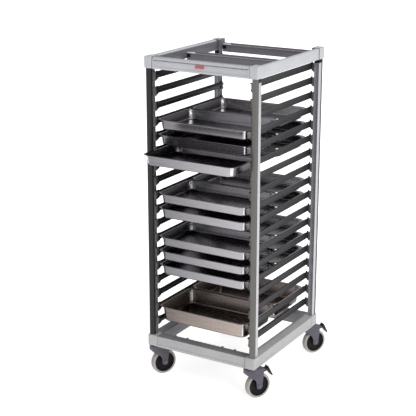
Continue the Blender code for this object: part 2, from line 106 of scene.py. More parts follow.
def face_out():
    bpy.ops.mesh.select_all(action="SELECT")
    bpy.ops.mesh.normals_make_consistent(inside=False)


def block(name, low, high):
    """A box from its lowest to its highest corner."""
    low = Vector(low)
    high = Vector(high)
    deselect()
    bpy.ops.mesh.primitive_cube_add(size=1, location=(low + high) / 2, scale=high - low)
    piece = bpy.context.object
    piece.name = name
    return settle(piece)


def rod(name, radius, start, end, steps=24):
    """A round bar between two points."""
    start = Vector(start)
    end = Vector(end)
    deselect()
    turn = (end - start).to_track_quat("Z", "Y").to_euler()
    bpy.ops.mesh.primitive_cylinder_add(
        vertices=steps, radius=radius, depth=(end - start).length, location=(start + end) / 2, rotation=turn
    )
    piece = bpy.context.object
    piece.name = name
    return settle(piece)


def chain(name, corners):
    """A closed ring of edges drawn corner by corner."""
    deselect()
    bpy.ops.mesh.primitive_plane_add(size=0.001, location=corners[0])
    piece = settle(bpy.context.object)
    piece.name = name
    with shaping(piece):
        bpy.ops.mesh.select_all(action="SELECT")
        bpy.ops.mesh.merge(type="CENTER")
        for near, far in zip(corners, corners[1:]):
            bpy.ops.mesh.extrude_vertices_move(TRANSFORM_OT_translate={"value": Vector(far) - Vector(near)})
        first = Vector(corners[0])
        last = Vector(corners[-1])
        pick(piece, "VERT", lambda place, _: min((place - first).length, (place - last).length) < 1e-6)
        bpy.ops.mesh.edge_face_add()
    return piece


def drawn(name, outline, low, high, plane="YZ"):
    """An outline in a plane, filled and pulled from low to high along the third axis."""
    axis = {"YZ": 0, "XZ": 1, "XY": 2}[plane]
    corners = []
    for point in outline:
        corner = list(point)
        corner.insert(axis, low)
        corners.append(corner)
    travel = Vector()
    travel[axis] = high - low
    piece = chain(name, corners)
    with shaping(piece):
        bpy.ops.mesh.select_all(action="SELECT")
        bpy.ops.mesh.edge_face_add()
        bpy.ops.mesh.extrude_region_move(TRANSFORM_OT_translate={"value": travel})
        face_out()
    return piece


def turned(name, profile, steps=48):
    """A closed profile of (along, radius) points spun about the X axis through the origin."""
    piece = chain(name, [(along, 0.0, radius) for along, radius in profile])
    with shaping(piece):
        bpy.ops.mesh.select_all(action="SELECT")
        bpy.ops.mesh.spin(steps=steps, angle=2 * math.pi, center=(0, 0, 0), axis=(1, 0, 0))
        bpy.ops.mesh.select_all(action="SELECT")
        bpy.ops.mesh.remove_doubles(threshold=1e-5)
        face_out()
    return piece


def arc(centre, radius, start, end, steps):
    """Points along a circular arc, both ends included; angles in degrees."""
    points = []
    for step in range(steps + 1):
        angle = math.radians(start + (end - start) * step / steps)
        points.append((centre[0] + radius * math.cos(angle), centre[1] + radius * math.sin(angle)))
    return points


def apply(piece, modifier):
    take(piece)
    bpy.ops.object.modifier_apply(modifier=modifier.name)


def soften(piece, width, segments=2, angle=35.0):
    """Rounds the edges of a piece that are sharper than an angle."""
    edge = piece.modifiers.new("rounded edges", "BEVEL")
    edge.width = width
    edge.segments = segments
    edge.limit_method = "ANGLE"
    edge.angle_limit = math.radians(angle)
    apply(piece, edge)
    return piece


def cut(piece, tool):
    """Takes a tool's shape out of a piece and throws the tool away."""
    saw = piece.modifiers.new("cut", "BOOLEAN")
    saw.operation = "DIFFERENCE"
    saw.object = tool
    apply(piece, saw)
    bpy.data.objects.remove(tool)
    return piece


def joined(name, pieces):
    """Several loose parts kept as one piece."""
    deselect()
    for piece in pieces:
        piece.select_set(True)
    bpy.context.view_layer.objects.active = pieces[0]
    bpy.ops.object.join()
    pieces[0].name = name
    return pieces[0]


def copied(piece, name, move=(0, 0, 0)):
    """A copy with its own mesh, moved."""
    take(piece)
    bpy.ops.object.duplicate()
    copy = bpy.context.object
    copy.name = name
    copy.location = move
    return settle(copy)


def flipped(piece, name, axis=0):
    """A mirror image across the middle of the frame, left to right (axis 0) or front to rear (axis 1)."""
    copy = copied(piece, name)
    with shaping(copy):
        bpy.ops.mesh.select_all(action="SELECT")
        across = (axis == 0, axis == 1, False)
        bpy.ops.transform.mirror(constraint_axis=across, center_override=MIDDLE)
        face_out()
    return copy


def round_off(piece, angle=35.0):
    take(piece)
    bpy.ops.object.shade_smooth_by_angle(angle=math.radians(angle))
    return piece


def done(piece, finish, body="rack", replaces=(), angle=35.0):
    """Gives a piece its finish, its body and the CAD nodes that it stands for."""
    piece.data.materials.clear()
    piece.data.materials.append(finish)
    round_off(piece, angle)
    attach(piece, body)
    if replaces:
        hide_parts(*replaces)
    return piece


def add_finish(piece, finish, test):
    """Another finish on the faces whose middle and direction pass a test."""
    piece.data.materials.append(finish)
    for face in piece.data.polygons:
        if test(face.center, face.normal):
            face.material_index = len(piece.data.materials) - 1


# ------------------------------------------------------------------ effects shared by the finishes
def effect(name, numbers):
    """An empty node group that reads numbers and puts out a shade and a height."""
    tree = bpy.data.node_groups.new(name, "ShaderNodeTree")
    for label, value in numbers:
        socket = tree.interface.new_socket(label, in_out="INPUT", socket_type="NodeSocketFloat")
        socket.default_value = value
    for label in ("Shade", "Height"):
        tree.interface.new_socket(label, in_out="OUTPUT", socket_type="NodeSocketFloat")
    entry = tree.nodes.new("NodeGroupInput")
    way_out = tree.nodes.new("NodeGroupOutput")
    place = tree.nodes.new("ShaderNodeTexCoord")
    return tree, entry, way_out, place.outputs["Object"]


def noise(tree, place, scale, detail=2.0, roughness=0.5):
    """A noise whose scale is a number or a socket."""
    node = tree.nodes.new("ShaderNodeTexNoise")
    tree.links.new(place, node.inputs["Vector"])
    node.inputs["Detail"].default_value = detail
    node.inputs["Roughness"].default_value = roughness
    if isinstance(scale, (int, float)):
        node.inputs["Scale"].default_value = scale
    else:
        tree.links.new(scale, node.inputs["Scale"])
    return node.outputs["Fac"]


def sums(tree, operation, first, second):
    node = tree.nodes.new("ShaderNodeMath")
    node.operation = operation
    for socket, value in zip(node.inputs, (first, second)):
        if isinstance(value, (int, float)):
            socket.default_value = value
        else:
            tree.links.new(value, socket)
    return node.outputs[0]


def spread(tree, value, low, high, to_low=0.0, to_high=1.0):
    node = tree.nodes.new("ShaderNodeMapRange")
    tree.links.new(value, node.inputs["Value"])
    node.inputs["From Min"].default_value = low
    node.inputs["From Max"].default_value = high
    node.inputs["To Min"].default_value = to_low
    node.inputs["To Max"].default_value = to_high
    return node.outputs["Result"]


def stretched(tree, place, scales):
    """The coordinates squeezed by three numbers or sockets."""
    pack = tree.nodes.new("ShaderNodeCombineXYZ")
    for socket, value in zip(pack.inputs, scales):
        if isinstance(value, (int, float)):
            socket.default_value = value
        else:
            tree.links.new(value, socket)
    node = tree.nodes.new("ShaderNodeVectorMath")
    node.operation = "MULTIPLY"
    tree.links.new(place, node.inputs[0])
    tree.links.new(pack.outputs[0], node.inputs[1])
    return node.outputs[0]


def moulded_skin():
    """Speckle of a moulded, filled plastic over slow clouds of tone."""
    numbers = [("Speckle", 400.0), ("Contrast", 0.6), ("Clouds", 0.3)]
    tree, entry, way_out, place = effect("moulded skin", numbers)
    speckle = spread(tree, noise(tree, place, entry.outputs["Speckle"], 3.0, 0.6), 0.3, 0.7, -0.5, 0.5)
    clouds = spread(tree, noise(tree, place, 7.0, 4.0, 0.6), 0.3, 0.7, -0.5, 0.5)
    tone = sums(tree, "MULTIPLY", speckle, entry.outputs["Contrast"])
    slow = sums(tree, "MULTIPLY", clouds, entry.outputs["Clouds"])
    both = sums(tree, "ADD", tone, slow)
    shade = sums(tree, "ADD", both, 0.5)
    tree.links.new(shade, way_out.inputs["Shade"])
    tree.links.new(speckle, way_out.inputs["Height"])
    return tree


def brushed_metal():
    """Fine lines drawn along one direction, with faint stains across them."""
    numbers = [("Across X", 20.0), ("Across Y", 900.0), ("Across Z", 900.0)]
    tree, entry, way_out, place = effect("brushed metal", numbers)
    squeezed = stretched(tree, place, [entry.outputs[f"Across {axis}"] for axis in "XYZ"])
    lines = noise(tree, squeezed, 1.0, 3.0, 0.6)
    stains = noise(tree, place, 11.0, 4.0, 0.65)
    mixed = sums(tree, "ADD", sums(tree, "MULTIPLY", lines, 0.8), sums(tree, "MULTIPLY", stains, 0.2))
    tree.links.new(spread(tree, mixed, 0.22, 0.78), way_out.inputs["Shade"])
    tree.links.new(lines, way_out.inputs["Height"])
    return tree


def scuffs():
    """Thin worn streaks that run mostly along Y, and a scatter of nicks."""
    tree, entry, way_out, place = effect("scuffs", [("Amount", 0.5)])
    streaks = noise(tree, stretched(tree, place, (60.0, 5.0, 140.0)), 1.0, 3.0, 0.7)
    nicks = noise(tree, place, 160.0, 2.0, 0.8)
    worn = sums(tree, "MULTIPLY", spread(tree, streaks, 0.56, 0.72), spread(tree, nicks, 0.42, 0.62))
    tree.links.new(sums(tree, "MULTIPLY", worn, entry.outputs["Amount"]), way_out.inputs["Shade"])
    tree.links.new(worn, way_out.inputs["Height"])
    return tree


SKIN = moulded_skin()
BRUSHED = brushed_metal()
SCUFFS = scuffs()


# ------------------------------------------------------------------ finishes
def put(tree, group, **values):
    """A shared effect placed in a finish with its own values."""
    node = tree.nodes.new("ShaderNodeGroup")
    node.node_tree = group
    for label, value in values.items():
        node.inputs[label.replace("_", " ")].default_value = value
    return node


def blend_colours(tree, share, first, second):
    node = tree.nodes.new("ShaderNodeMix")
    node.data_type = "RGBA"
    tree.links.new(share, node.inputs["Factor"])
    for label, colour in (("A", first), ("B", second)):
        socket = next(s for s in node.inputs if s.name == label and s.type == "RGBA")
        if isinstance(colour, tuple):
            socket.default_value = (*colour, 1.0)
        else:
            tree.links.new(colour, socket)
    return next(s for s in node.outputs if s.type == "RGBA")


def bump(tree, height, distance):
    node = tree.nodes.new("ShaderNodeBump")
    node.inputs["Distance"].default_value = distance
    node.inputs["Strength"].default_value = 0.5
    tree.links.new(height, node.inputs["Height"])
    return node.outputs["Normal"]


def grey(level):
    return (level, level, level)


def fresh_finish(name):
    """A new material with its node tree and its shader."""
    finish = bpy.data.materials.new(name)
    finish.use_nodes = True
    tree = finish.node_tree
    return finish, tree, tree.nodes["Principled BSDF"]


def plastic(
    name, dark, light, worn, roughness, speckle=240.0, contrast=0.5, clouds=0.25, wear=0.5, shine=0.5
):
    """Moulded plastic: two tones under a speckle, lighter where it is scuffed."""
    finish, tree, shader = fresh_finish(name)
    skin = put(tree, SKIN, Speckle=speckle, Contrast=contrast, Clouds=clouds)
    marks = put(tree, SCUFFS, Amount=wear)
    tone = blend_colours(tree, skin.outputs["Shade"], dark, light)
    colour = blend_colours(tree, marks.outputs["Shade"], tone, worn)
    tree.links.new(colour, shader.inputs["Base Color"])
    dullness = spread(tree, skin.outputs["Shade"], 0.0, 1.0, roughness + 0.06, roughness - 0.06)
    tree.links.new(dullness, shader.inputs["Roughness"])
    shader.inputs["Specular IOR Level"].default_value = shine
    tree.links.new(bump(tree, skin.outputs["Height"], 0.0002), shader.inputs["Normal"])
    return finish


def metal(name, dark, light, roughness, across, depth=0.00005, full=1.0, wear=0.2, side=0.0):
    """Drawn or brushed metal with lines along one direction, and a painted sheen that may grow lighter to one
    side.
    """
    finish, tree, shader = fresh_finish(name)
    shader.inputs["Metallic"].default_value = full
    lines = put(tree, BRUSHED, Across_X=across[0], Across_Y=across[1], Across_Z=across[2])
    marks = put(tree, SCUFFS, Amount=wear)
    shade = lines.outputs["Shade"]
    # painted sheen: the tone grows lighter towards +X across the object
    if side:
        place = tree.nodes.new("ShaderNodeTexCoord").outputs["Object"]
        split = tree.nodes.new("ShaderNodeSeparateXYZ")
        tree.links.new(place, split.inputs[0])
        sheen = spread(tree, split.outputs["X"], -0.25, 0.25, -side, side)
        calm = sums(tree, "ADD", sums(tree, "MULTIPLY", shade, 0.4), 0.3)
        shade = sums(tree, "ADD", calm, sheen)
    tone = blend_colours(tree, shade, dark, light)
    colour = blend_colours(tree, marks.outputs["Shade"], tone, light)
    tree.links.new(colour, shader.inputs["Base Color"])
    dullness = spread(tree, lines.outputs["Shade"], 0.0, 1.0, roughness + 0.08, roughness - 0.05)
    tree.links.new(dullness, shader.inputs["Roughness"])
    tree.links.new(bump(tree, lines.outputs["Height"], depth), shader.inputs["Normal"])
    return finish


FRAME_GREY = plastic(
    "frame_grey", (0.34, 0.345, 0.36), (0.50, 0.505, 0.52), (0.62, 0.62, 0.63), 0.5,
    speckle=230.0, contrast=0.6,
)
# painted shade: a dark copy of the frame plastic for the top frame's inward faces and the front rail's sunk
# channel
FRAME_INNER_SHADE = plastic(
    "frame_inner_painted_shade", (0.07, 0.07, 0.078), (0.14, 0.14, 0.152), (0.36, 0.36, 0.37), 0.5,
    speckle=230.0, contrast=0.7,
)
BASE_GREY = plastic(
    "base_grey", (0.27, 0.267, 0.27), (0.43, 0.427, 0.43), grey(0.56), 0.5, speckle=230.0, contrast=0.7
)
# painted shade: a dark copy of the base plastic for the base rails' tops, inner faces, lips and tabs
BASE_TOP_SHADE = plastic(
    "base_top_painted_shade", (0.12, 0.12, 0.13), (0.21, 0.21, 0.225), (0.36, 0.36, 0.38), 0.55, speckle=260.0
)
CROSSBAR_DARK = plastic("crossbar_dark", (0.10, 0.095, 0.11), (0.17, 0.16, 0.18), (0.30, 0.29, 0.31), 0.45)
# painted light: a lighter copy of the crossbar plastic for its upward faces, lit from above
CROSSBAR_TOP_LIGHT = plastic("crossbar_top", (0.26, 0.26, 0.28), (0.38, 0.38, 0.40), (0.46, 0.46, 0.48), 0.45)
# painted highlight: the white of the crossbars' end caps stands in for the glint on their ends
CAP_HIGHLIGHT = plastic(
    "crossbar_cap_painted_highlight", (0.62, 0.62, 0.63), (0.76, 0.76, 0.77), grey(0.8), 0.45, contrast=0.3
)
POST_GREY = plastic(
    "post_grey", (0.10, 0.102, 0.115), (0.24, 0.245, 0.265), (0.4, 0.4, 0.42), 0.5,
    speckle=210.0, contrast=1.0, clouds=0.2,
)
# painted light: a lighter copy of the upright plastic for the uprights' outer sides, where the key light
# falls
POST_SIDE_LIT = plastic(
    "post_side_painted_light", (0.36, 0.36, 0.38), (0.48, 0.48, 0.50), (0.58, 0.58, 0.6), 0.4,
    speckle=260.0, contrast=0.4,
)
COLLAR_BLACK = plastic(
    "collar_black", (0.004, 0.004, 0.005), (0.009, 0.009, 0.010), grey(0.03), 0.5, speckle=300.0, shine=0.1
)
# painted shade: dark copies of the light grey plastic for the brackets and for every strip but the rear right
# one
STRIP_SHADE = plastic(
    "strip_painted_shade", (0.07, 0.07, 0.075), (0.13, 0.13, 0.14), (0.26, 0.26, 0.28), 0.5, contrast=0.8
)
STRIP_LIGHT = plastic("strip_light", (0.36, 0.36, 0.37), (0.5, 0.5, 0.51), grey(0.6), 0.5)
BRACKET_SHADE = plastic("bracket_painted_shade", (0.05, 0.05, 0.055), (0.11, 0.11, 0.12), (0.25, 0.25, 0.27), 0.5)
SLIDE_DARK = plastic(
    "slide_charcoal", (0.006, 0.006, 0.007), (0.015, 0.015, 0.017), (0.05, 0.05, 0.055), 0.5,
    speckle=220.0, contrast=0.7, clouds=0.3, wear=0.6, shine=0.2,
)
CAP_BLACK = plastic(
    "slide_cap_black", (0.005, 0.004, 0.005), (0.012, 0.011, 0.012), (0.05, 0.04, 0.04), 0.5,
    speckle=260.0, shine=0.2,
)
UPRIGHT_LINES = (900.0, 900.0, 14.0)
LONG_LINES = (10.0, 300.0, 300.0)
CROSS_LINES = (300.0, 10.0, 300.0)
CORNER_LINES = (300.0, 300.0, 10.0)
EVEN_GRAIN = (300.0, 300.0, 300.0)
PRESSED = 0.000015  # depth of the lines in a pan's pressed sheet
BAR_OLIVE = metal("bar_olive", (0.095, 0.093, 0.086), (0.145, 0.143, 0.130), 0.4, UPRIGHT_LINES, full=0.6)
# painted shade: a dark copy of the olive bar finish for the front left bar, which lies in shade
BAR_OLIVE_SHADE = metal("bar_olive_painted_shade", (0.010, 0.010, 0.009), (0.028, 0.027, 0.026), 0.4, UPRIGHT_LINES, full=0.6)
# the pans' steels get the painted sheen, lighter towards +X
PAN_STEEL = metal(
    "pan_steel", (0.16, 0.152, 0.165), (0.37, 0.355, 0.375), 0.25, LONG_LINES, PRESSED, wear=0.1, side=0.5
)
PAN_WARM = metal(
    "pan_warm", (0.13, 0.108, 0.095), (0.37, 0.32, 0.29), 0.25, LONG_LINES, PRESSED, wear=0.1, side=0.5
)
# painted shade: darker copies of the pan steels for faces turned towards +X
PAN_SIDE_SHADE = metal("pan_side_painted_shade", (0.075, 0.07, 0.075), (0.15, 0.142, 0.148), 0.25, CROSS_LINES, PRESSED, wear=0.1)
PAN_WARM_SIDE_SHADE = metal(
    "pan_warm_side_painted_shade", (0.12, 0.1, 0.09), (0.22, 0.19, 0.17), 0.25, CROSS_LINES, PRESSED, wear=0.1
)
# painted highlight: a lighter, smoother copy of the pan steel for the rounded corners
PAN_CORNER_HIGHLIGHT = metal(
    "pan_corner_painted_highlight", (0.52, 0.505, 0.52), (0.78, 0.76, 0.78), 0.15, CORNER_LINES, 0.00001, wear=0.1
)
CASTER_GREY = plastic(
    "caster_grey", (0.055, 0.05, 0.065), (0.095, 0.088, 0.107), (0.25, 0.24, 0.26), 0.5,
    speckle=300.0, shine=0.3,
)
HUB_BLACK = plastic(
    "hub_black", (0.004, 0.004, 0.005), (0.009, 0.009, 0.010), grey(0.03), 0.5, speckle=300.0, shine=0.12
)
PEDAL_BLACK = plastic(
    "pedal_black", (0.005, 0.005, 0.006), (0.012, 0.012, 0.014), grey(0.06), 0.5, speckle=300.0, shine=0.2
)
TYRE_GREY = plastic(
    "tyre_grey", (0.24, 0.225, 0.205), (0.36, 0.34, 0.315), (0.46, 0.44, 0.42), 0.75,
    speckle=180.0, contrast=0.6, clouds=0.5,
)
ZINC = metal("zinc", (0.45, 0.45, 0.47), (0.66, 0.66, 0.68), 0.32, EVEN_GRAIN)
BOLT_DARK = metal("bolt_dark", (0.10, 0.095, 0.11), (0.17, 0.16, 0.18), 0.45, EVEN_GRAIN)
BADGE_RED = plastic(
    "badge_red", (0.42, 0.03, 0.035), (0.54, 0.05, 0.055), (0.72, 0.3, 0.3), 0.35, speckle=300.0, contrast=0.3
)


# ------------------------------------------------------------------ frames
RAIL_STEP = 0.003  # rails lie this far below the tops of their corner blocks
SEAM = 0.0006  # between a rail and its corner block
BLOCK_LENGTH = 0.060
BLOCK_WIDTH = {"top": 0.047, "base": 0.055}
RAIL_WIDTH = {"top": 0.030, "base": 0.055}
BLOCK_PROUD = 0.003  # a corner block stands out this far past its side rail
SKIRT_HEIGHT = 0.015  # the foot of a base rail
SKIRT_PROUD = 0.0016
LIP_RADIUS = 0.0075
LIP_IN = 0.006  # from a base rail's inner face to the middle of its lip
LIP_DROP = 0.0048  # from a base rail's top to the middle of its lip
TAB_SHARES = (0.16, 0.30, 0.70, 0.84)  # places of the tabs along the front base rail
UPPER_EDGE = 0.03  # edges higher than this above a top rail's foot are its upper ones
BACK_HALF = 0.018  # edges further than this from a top side rail's outer face are its inner ones
BAR_LIP = 0.0075  # height of a crossbar's ridge above its ledge


def rail_with_blocks(name, finish):
    """A side rail between its two corner blocks, each a piece of its own."""
    low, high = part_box(name)
    sign = 1 if low.x + high.x > 2 * MIDDLE.x else -1
    outer = high.x if sign > 0 else low.x
    stem, _, word = name.split("_")
    for end, end_word in ENDS:
        edge = high.y if end > 0 else low.y
        near, far = sorted((edge, edge - end * BLOCK_LENGTH))
        inner, out = sorted((outer, outer - sign * BLOCK_WIDTH[stem]))
        corner = block(f"{stem}_corner_{end_word}_{word}", (inner, near, low.z), (out, far, high.z))
        soften(corner, 0.0055, 4)
        done(corner, finish)
        if stem == "top":
            # the corner block's faces turned into the frame get the painted shade
            add_finish(
                corner, FRAME_INNER_SHADE, lambda place, normal: min(normal.x * sign, normal.y * end) < -0.8
            )
    inner, out = sorted((outer - sign * BLOCK_PROUD, outer - sign * (BLOCK_PROUD + RAIL_WIDTH[stem])))
    start = low.y + BLOCK_LENGTH + SEAM
    stop = high.y - BLOCK_LENGTH - SEAM
    rail = block(name + "_moulding", (inner, start, low.z), (out, stop, high.z - RAIL_STEP))
    return rail, sign, outer


def cross_block(name):
    """The plain block of a rail that runs between two side rails."""
    low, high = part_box(name)
    start = (low.x + SEAM, low.y, low.z)
    stop = (high.x - SEAM, high.y, high.z - RAIL_STEP)
    return block(name + "_moulding", start, stop)


def base_rail(rail, name, axis, way, trim, dark_top):
    """A base rail that faces out along an axis: a skirt at its foot, and a round lip inside its top painted
    dark as shade, like its inner face and, where asked, its top.
    """
    low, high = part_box(name)
    step_z = low.z + SKIRT_HEIGHT
    travel = Vector()
    travel[axis] = way * SKIRT_PROUD
    with shaping(rail):
        bpy.ops.mesh.select_all(action="SELECT")
        bpy.ops.mesh.bisect(plane_co=(0, 0, step_z), plane_no=(0, 0, 1))
        pick(rail, "FACE", lambda place, normal: normal[axis] * way > 0.9 and place.z < step_z)
        bpy.ops.mesh.extrude_region_move(TRANSFORM_OT_translate={"value": travel})
    soften(rail, 0.0022, 2)
    done(rail, BASE_GREY, replaces=[name])
    # painted shade on the inner face, and on the top where asked
    add_finish(
        rail, BASE_TOP_SHADE, lambda place, normal: (dark_top and normal.z > 0.8) or normal[axis] * way < -0.8
    )
    inner = low[axis] if way > 0 else high[axis]
    start = Vector((0, 0, high.z - RAIL_STEP - LIP_DROP))
    start[axis] = inner + way * LIP_IN
    stop = start.copy()
    start[1 - axis] = low[1 - axis] + trim
    stop[1 - axis] = high[1 - axis] - trim
    # the lip: painted shade
    done(rod(name + "_lip", LIP_RADIUS, start, stop, 20), BASE_TOP_SHADE)


def base_tabs():
    """Four small tabs on the inner edge of the front base rail."""
    low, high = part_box("base_rail_front")
    top = high.z - RAIL_STEP
    for number, share in enumerate(TAB_SHARES):
        place = low.x + share * (high.x - low.x)
        start = (place - 0.006, high.y - 0.010, top)
        stop = (place + 0.006, high.y - 0.003, top + 0.0085)
        tab = soften(block(f"base_tab_{number + 1}", start, stop), 0.0015, 2)
        # the tabs get the painted shade of the base tops
        done(tab, BASE_TOP_SHADE)


def top_side_rail(word):
    """A side rail with a wide round along its inner top edge, and its inner face painted dark as shade."""
    name = f"top_rail_{word}"
    low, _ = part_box(name)
    rail, sign, outer = rail_with_blocks(name, FRAME_GREY)

    def inner_top(place, way):
        inner = (outer - place.x) * sign > BACK_HALF
        return inner and abs(way.y) > 0.9 and place.z > low.z + UPPER_EDGE

    with shaping(rail):
        pick(rail, "EDGE", inner_top)
        bpy.ops.mesh.bevel(offset=0.015, segments=6)
    soften(rail, 0.004, 3)
    done(rail, FRAME_GREY, replaces=[name])
    # inner face: painted shade
    add_finish(rail, FRAME_INNER_SHADE, lambda place, normal: normal.x * sign < -0.8)


def top_front_rail():
    """The front rail: round top edge, a sunk panel with round ends, and a channel along its top that is
    painted dark as shade.
    """
    name = "top_rail_front"
    low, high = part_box(name)
    middle_y = (low.y + high.y) / 2
    rail = cross_block(name)

    def front_top(place, way):
        return abs(way.x) > 0.9 and place.z > low.z + UPPER_EDGE and place.y < middle_y

    def panel(place, normal):
        central = abs(place.x - MIDDLE.x) < 0.02 and low.z + 0.012 < place.z < high.z - 0.018
        return central and normal.y < -0.95

    def channel(place, normal):
        sunk = place.z < high.z - RAIL_STEP - 0.003
        return sunk and normal.z > 0.8 and place.y > middle_y - 0.012

    with shaping(rail):
        pick(rail, "EDGE", front_top)
        bpy.ops.mesh.bevel(offset=0.012, segments=5)
        pick(rail, "FACE", lambda place, normal: normal.y < -0.95)
        bpy.ops.mesh.inset(thickness=0.009)
        pick(rail, "FACE", panel)
        bpy.ops.mesh.extrude_region_move(TRANSFORM_OT_translate={"value": (0, 0.0045, 0)})
        bpy.ops.transform.resize(value=(0.994, 1, 0.86))
        pick(rail, "FACE", lambda place, normal: normal.z > 0.95)
        bpy.ops.mesh.inset(thickness=0.003)
        bpy.ops.mesh.extrude_region_move(TRANSFORM_OT_translate={"value": (0, 0, -0.004)})
    soften(rail, 0.0012, 2, 30)
    done(rail, FRAME_GREY, replaces=[name])
    # the channel's floor: painted shade
    add_finish(rail, FRAME_INNER_SHADE, channel)


def crossbar(name):
    """A dark bar with a ridge along its top and a ledge along its front, its upward faces painted lighter as
    light.
    """
    low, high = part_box(name)
    front = low.y
    back = high.y
    ledge = high.z - BAR_LIP
    sunk_top = high.z - 0.0025
    outline = [(front, low.z), (back, low.z), (back, high.z)]
    outline += [(back - 0.004, high.z), (back - 0.004, sunk_top), (front + 2.4 * BAR_LIP, sunk_top)]
    outline += [(front + 2.4 * BAR_LIP, high.z), (front + 2 * BAR_LIP, high.z), (front + 2 * BAR_LIP, ledge)]
    outline += [(front, ledge), (front, ledge - 0.004), (front + 0.002, ledge - 0.006)]
    outline += [(front + 0.002, low.z + 0.008), (front, low.z + 0.006)]
    bar = drawn(name + "_moulding", outline, low.x, high.x, "YZ")
    soften(bar, 0.0008, 1)
    done(bar, CROSSBAR_DARK, replaces=[name])
    # upward faces: painted light
    add_finish(bar, CROSSBAR_TOP_LIGHT, lambda place, normal: normal.z > 0.8)
    for sign, word in SIDES:
        edge = high.x if sign > 0 else low.x
        near, far = sorted((edge, edge - sign * 0.045))
        # an end cap on the ledge, white as a painted highlight
        start = (near, front + 0.0005, ledge - 0.0002)
        cap = block(f"{name}_cap_{word}", start, (far, front + 1.9 * BAR_LIP, high.z - 0.003))
        soften(cap, 0.001, 2)
        done(cap, CAP_HIGHLIGHT)
        # a black block at each end under the ledge, put in as painted shade of a notch
        near, far = sorted((edge - sign * 0.004, edge - sign * 0.022))
        start = (near, front - 0.0006, ledge - 0.022)
        notch = block(f"{name}_notch_{word}", start, (far, front + 0.003, ledge - 0.005))
        soften(notch, 0.0006, 1)
        done(notch, COLLAR_BLACK)


def badge():
    """A plain raised badge with rounded ends and no lettering."""
    low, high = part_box("badge")
    plate = block("badge_plate", low, high)
    with shaping(plate):
        pick(plate, "EDGE", lambda place, way: abs(way.y) > 0.9)
        bpy.ops.mesh.bevel(offset=0.004, segments=4)
        pick(plate, "FACE", lambda place, normal: normal.y < -0.9)
        bpy.ops.mesh.inset(thickness=0.0018)
        bpy.ops.transform.translate(value=(0, 0.0004, 0))
    done(plate, BADGE_RED, replaces=["badge"])


def build_frames():
    for side, word in SIDES:
        name = f"base_rail_{word}"
        rail, _, _ = rail_with_blocks(name, BASE_GREY)
        # only the left side rail's top gets the painted shade; the right one's top stays light as lit
        base_rail(rail, name, 0, side, BLOCK_LENGTH, dark_top=side < 0)
        top_side_rail(word)
    for end, word in ENDS:
        name = f"base_rail_{word}"
        # the front and rear base rails' tops get the painted shade
        base_rail(cross_block(name), name, 1, end, 0, dark_top=True)
        if word == "front":
            base_tabs()
    top_front_rail()
    crossbar("top_crossbar_middle")
    crossbar("top_crossbar_rear")
    badge()


# ------------------------------------------------------------------ posts
COLLAR_HEIGHT = 0.019
COLLAR_FOOT = 0.006  # the wider foot of a collar
BAR_SHAPE = (
    (0.0, 1.0), (0.30, 0.985), (0.52, 0.95), (0.62, 0.90), (0.84, 0.66), (0.96, 0.50), (1.0, 0.40),
    (1.0, 0.34), (0.90, 0.31), (0.90, 0.14), (1.0, 0.11), (1.0, 0.0),
)  # half of a post bar's section, as shares of its half width and its depth


def post_bar(end, end_word, side_word):
    """The bar on a post's outer face: a bowed front, sloped shoulders and a groove along each side."""
    name = f"post_bar_{end_word}_{side_word}"
    low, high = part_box(name)
    middle = (low.x + high.x) / 2
    half = (high.x - low.x) / 2
    back = high.y if end < 0 else low.y
    depth = high.y - low.y
    profile = list(BAR_SHAPE) + [(-u, v) for u, v in reversed(BAR_SHAPE[1:])]
    outline = [(middle + half * u, back + end * depth * v) for u, v in profile]
    bar = drawn(name + "_profile", outline, low.z, high.z, "XY")
    # the front left bar gets the painted shade
    finish = BAR_OLIVE_SHADE if end_word + side_word == "frontleft" else BAR_OLIVE
    done(bar, finish, replaces=[name], angle=28)


def upright(end_word, side, side_word):
    """The moulded upright behind the bar, speckled, with its outer side painted lighter as light, under a
    black collar.
    """
    name = f"post_{end_word}_{side_word}"
    low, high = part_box(name)
    shoulder = high.z - COLLAR_HEIGHT
    post = block(name + "_upright", low, (high.x, high.y, shoulder))
    with shaping(post):
        for way in (-1, 1):
            pick(post, "FACE", lambda place, normal: normal.y * way > 0.9)
            bpy.ops.mesh.inset(thickness=0.0035)
            bpy.ops.mesh.extrude_region_move(TRANSFORM_OT_translate={"value": (0, -way * 0.0012, 0)})
    soften(post, 0.0008, 2)
    done(post, POST_GREY, replaces=[name])
    # outer side: painted light
    add_finish(post, POST_SIDE_LIT, lambda place, normal: normal.x * side > 0.7)
    inset = 0.0015
    collar = block(
        f"post_collar_{end_word}_{side_word}", (low.x + inset, low.y + inset, shoulder),
        (high.x - inset, high.y - inset, high.z),
    )
    with shaping(collar):
        bpy.ops.mesh.select_all(action="SELECT")
        bpy.ops.mesh.bisect(plane_co=(0, 0, shoulder + COLLAR_FOOT), plane_no=(0, 0, 1))
        bpy.ops.mesh.select_all(action="SELECT")
        bpy.ops.mesh.bisect(plane_co=(0, 0, high.z - 0.005), plane_no=(0, 0, 1))
        pick(collar, "FACE", lambda place, normal: abs(normal.z) < 0.1 and place.z < shoulder + COLLAR_FOOT)
        bpy.ops.transform.resize(value=(1.04, 1.04, 1))
    soften(collar, 0.0008, 2)
    done(collar, COLLAR_BLACK)


def build_posts():
    for side, side_word in SIDES:
        for end, end_word in ENDS:
            post_bar(end, end_word, side_word)
            upright(end_word, side, side_word)


